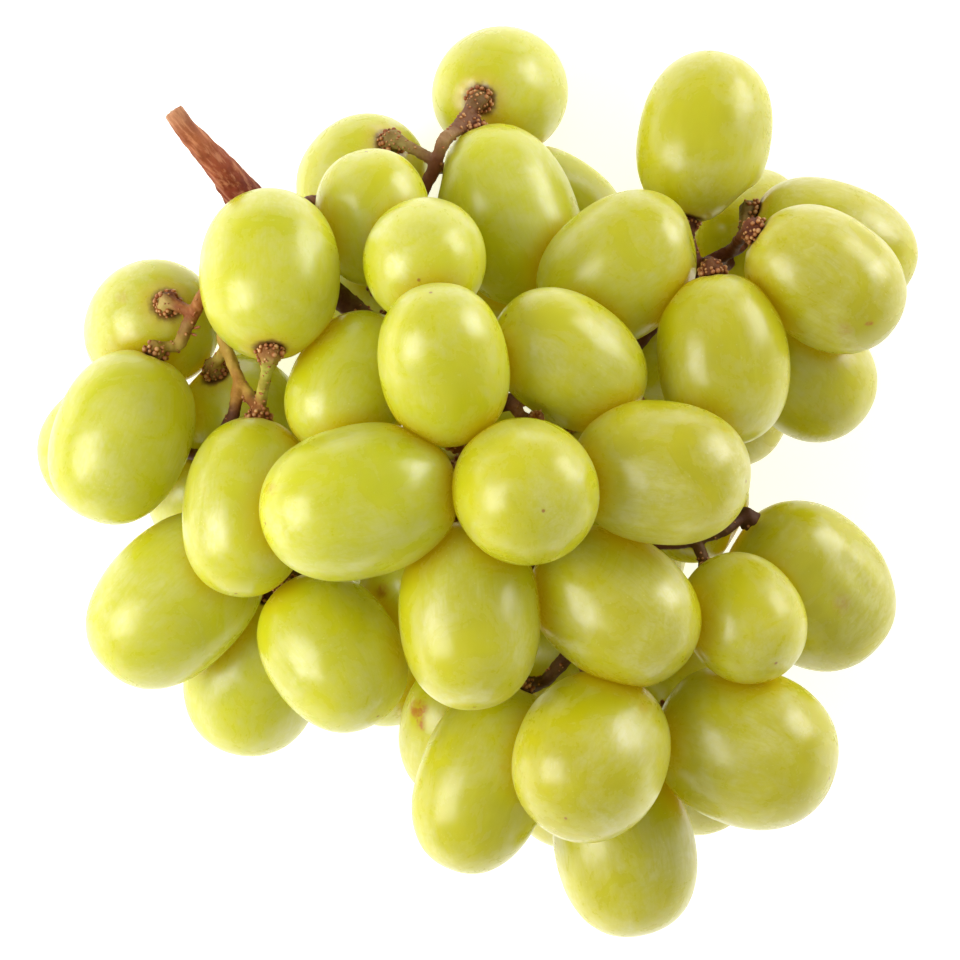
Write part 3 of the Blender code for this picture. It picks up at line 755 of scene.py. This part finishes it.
def add_beads(points, normals, near, grapes, corky):
    """Corky beads: a crown round every receptacle, a scatter along the pedicels, and spurs."""
    crown = crown_beads(grapes)
    loose = loose_beads(points, normals, near)
    *spurs, drawn_out = spur_beads(points)
    spots, outs, sizes = (np.array(a + b + c) for a, b, c in zip(crown, loose, spurs))
    outs /= np.linalg.norm(outs, axis=1, keepdims=True)
    stretch = np.append(np.zeros(len(spots) - len(drawn_out)), drawn_out)
    shape, sides = unit_ball()
    tip = np.einsum("vk,sk->sv", shape, outs)
    solid = shape[None] + tip[:, :, None] * outs[:, None, :] * stretch[:, None, None]
    co = spots[:, None, :] + solid * sizes[:, None, None]
    faces = (sides[None] + (np.arange(len(spots)) * len(shape))[:, None, None]).reshape(-1, 3)
    mesh = bpy.data.meshes.new("stem_beads")
    mesh.from_pydata((co.reshape(-1, 3) * MM).tolist(), [], faces.tolist())
    paint(mesh, "tip", tip.reshape(-1))
    paint(mesh, "shade", np.repeat(rng.uniform(0, 1, len(spots)), len(shape)))
    mesh.materials.append(corky)
    mesh.shade_smooth()
    beads = bpy.data.objects.new("stem_beads", mesh)
    bpy.context.scene.collection.objects.link(beads)
    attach(beads, "root")


def bark_material():
    n = Nodes("stem_bark")
    place = n.add("ShaderNodeTexCoord").outputs["Object"]
    grain = n.noise(place, 900.0, 5.0, 0.65)
    patches = n.noise(place, 190.0, 4.0, 0.6)
    turn = n.add("ShaderNodeMapping")
    n.put(turn.inputs["Vector"], place)
    turn.inputs["Rotation"].default_value = (0.0, 0.0, math.radians(STALK_TURN))
    fibres = n.noise(n.stretched(turn.outputs[0], (0.12, 1.0, 1.0)), 1500.0, 4.0, 0.6)
    from_cut = n.number("from_cut")
    tone = n.vector("wood_tone")
    dark = n.mix(1.0, tone, (0.60, 0.48, 0.42), "MULTIPLY")
    wood = n.mix(n.ramp(patches, 0.34, 0.60), dark, tone)
    pale = n.mix(1.0, tone, (0.15, 0.070, 0.022), "ADD")
    stalk = n.ramp(from_cut, 22.0, float(STALK_LENGTH), 1.0, 0.0)
    frayed = n.mix(1.0, tone, (0.26, 0.150, 0.080), "ADD")
    fray = n.maths("MULTIPLY", n.ramp(fibres, 0.46, 0.68, 0.0, 0.7), stalk)
    wood = n.mix(fray, wood, frayed)
    wood = n.mix(n.ramp(grain, 0.56, 0.74, 0.0, 0.45), wood, pale)
    green = n.mix(n.ramp(grain, 0.35, 0.65), (0.26, 0.20, 0.045), (0.36, 0.32, 0.08))
    share = n.maths("MULTIPLY", n.number("greenness"), n.ramp(patches, 0.34, 0.62, 0.0, 0.55))
    wood = n.mix(share, wood, green)
    end = n.ramp(from_cut, 0.8, 2.0, 1.0, 0.0)
    wood = n.mix(n.maths("MULTIPLY", end, 0.55), wood, (0.60, 0.42, 0.26))
    n.put(n.shader.inputs["Base Color"], wood)
    n.shader.inputs["Roughness"].default_value = 0.55
    n.shader.inputs["Specular IOR Level"].default_value = 0.16
    height = n.maths("ADD", n.maths("MULTIPLY", fibres, 0.6), grain)
    n.put(n.shader.inputs["Normal"], n.bump(height, 0.5, 0.0003))
    return n.material


def bead_material():
    n = Nodes("stem_beads")
    tip = n.ramp(n.number("tip"), 0.25, 0.95)
    brown = n.mix(n.number("shade"), (0.25, 0.065, 0.014), (0.42, 0.140, 0.028))
    pale = n.mix(n.number("shade"), (0.46, 0.190, 0.060), (0.74, 0.480, 0.210))
    n.put(n.shader.inputs["Base Color"], n.mix(n.maths("MULTIPLY", tip, 0.7), brown, pale))
    n.shader.inputs["Roughness"].default_value = 0.45
    n.shader.inputs["Specular IOR Level"].default_value = 0.35
    return n.material


# ---------------------------------------------------------------- stage, light and camera


def floor_material():
    n = Nodes("pale_floor")
    place = n.add("ShaderNodeTexCoord").outputs["Object"]
    grain = n.noise(place, 40.0, 3.0, 0.5)
    n.put(n.shader.inputs["Base Color"], n.mix(grain, (0.90, 0.90, 0.90), (0.92, 0.92, 0.92)))
    n.shader.inputs["Roughness"].default_value = 0.9
    n.shader.inputs["Emission Color"].default_value = (1.0, 1.0, 1.0, 1.0)
    n.shader.inputs["Emission Strength"].default_value = FLOOR_GLOW
    return n.material


def softbox(name, place, size, power, colour):
    lamp = bpy.data.lights.new(name, "AREA")
    lamp.shape = "RECTANGLE"
    lamp.size, lamp.size_y = size
    lamp.energy = power
    lamp.color = colour
    holder = bpy.data.objects.new(name, lamp)
    bpy.context.scene.collection.objects.link(holder)
    holder.location = place
    aim = Vector(STAGE_MIDDLE) - Vector(place)
    holder.rotation_euler = aim.to_track_quat("-Z", "Y").to_euler()


def add_stage():
    mesh = bpy.data.meshes.new("floor")
    w = FLOOR_HALF
    mesh.from_pydata([(-w, -w, 0), (w, -w, 0), (w, w, 0), (-w, w, 0)], [], [(0, 1, 2, 3)])
    mesh.materials.append(floor_material())
    floor = bpy.data.objects.new("floor", mesh)
    bpy.context.scene.collection.objects.link(floor)
    world = bpy.data.worlds.new("studio")
    bpy.context.scene.world = world
    world.use_nodes = True
    back = world.node_tree.nodes["Background"]
    back.inputs["Color"].default_value = (1.0, 1.0, 1.0, 1.0)
    back.inputs["Strength"].default_value = WORLD_LIGHT
    for lamp in SOFTBOXES:
        softbox(*lamp)


def add_camera():
    scene = bpy.context.scene
    camera = bpy.data.cameras.new("camera")
    holder = bpy.data.objects.new("camera", camera)
    scene.collection.objects.link(holder)
    camera.sensor_width = SENSOR
    camera.lens = SENSOR * CAMERA_AWAY / CAMERA_WIDE
    camera.clip_start, camera.clip_end = 0.01, 20
    holder.location = (PLAN_SHIFT[0] * MM, PLAN_SHIFT[1] * MM, CAMERA_AIM + CAMERA_AWAY)
    scene.camera = holder


def read_grapes():
    points, _ = welded(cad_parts["stem"].data)
    tree = kdtree.KDTree(len(points))
    for k, p in enumerate(points):
        tree.insert(Vector(p), k)
    tree.balance()
    names = sorted(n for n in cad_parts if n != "stem")
    return [Grape(n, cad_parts[n], tree) for n in names]


def main():
    grapes = read_grapes()
    share_contacts(grapes)
    skin = grape_material()
    for index, g in enumerate(grapes):
        add_skin(g, index, grapes, skin)
    add_stem(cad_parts["stem"], grapes, bark_material(), bead_material())
    add_stage()
    add_camera()
    bpy.context.scene.view_settings.view_transform = "Standard"


main()
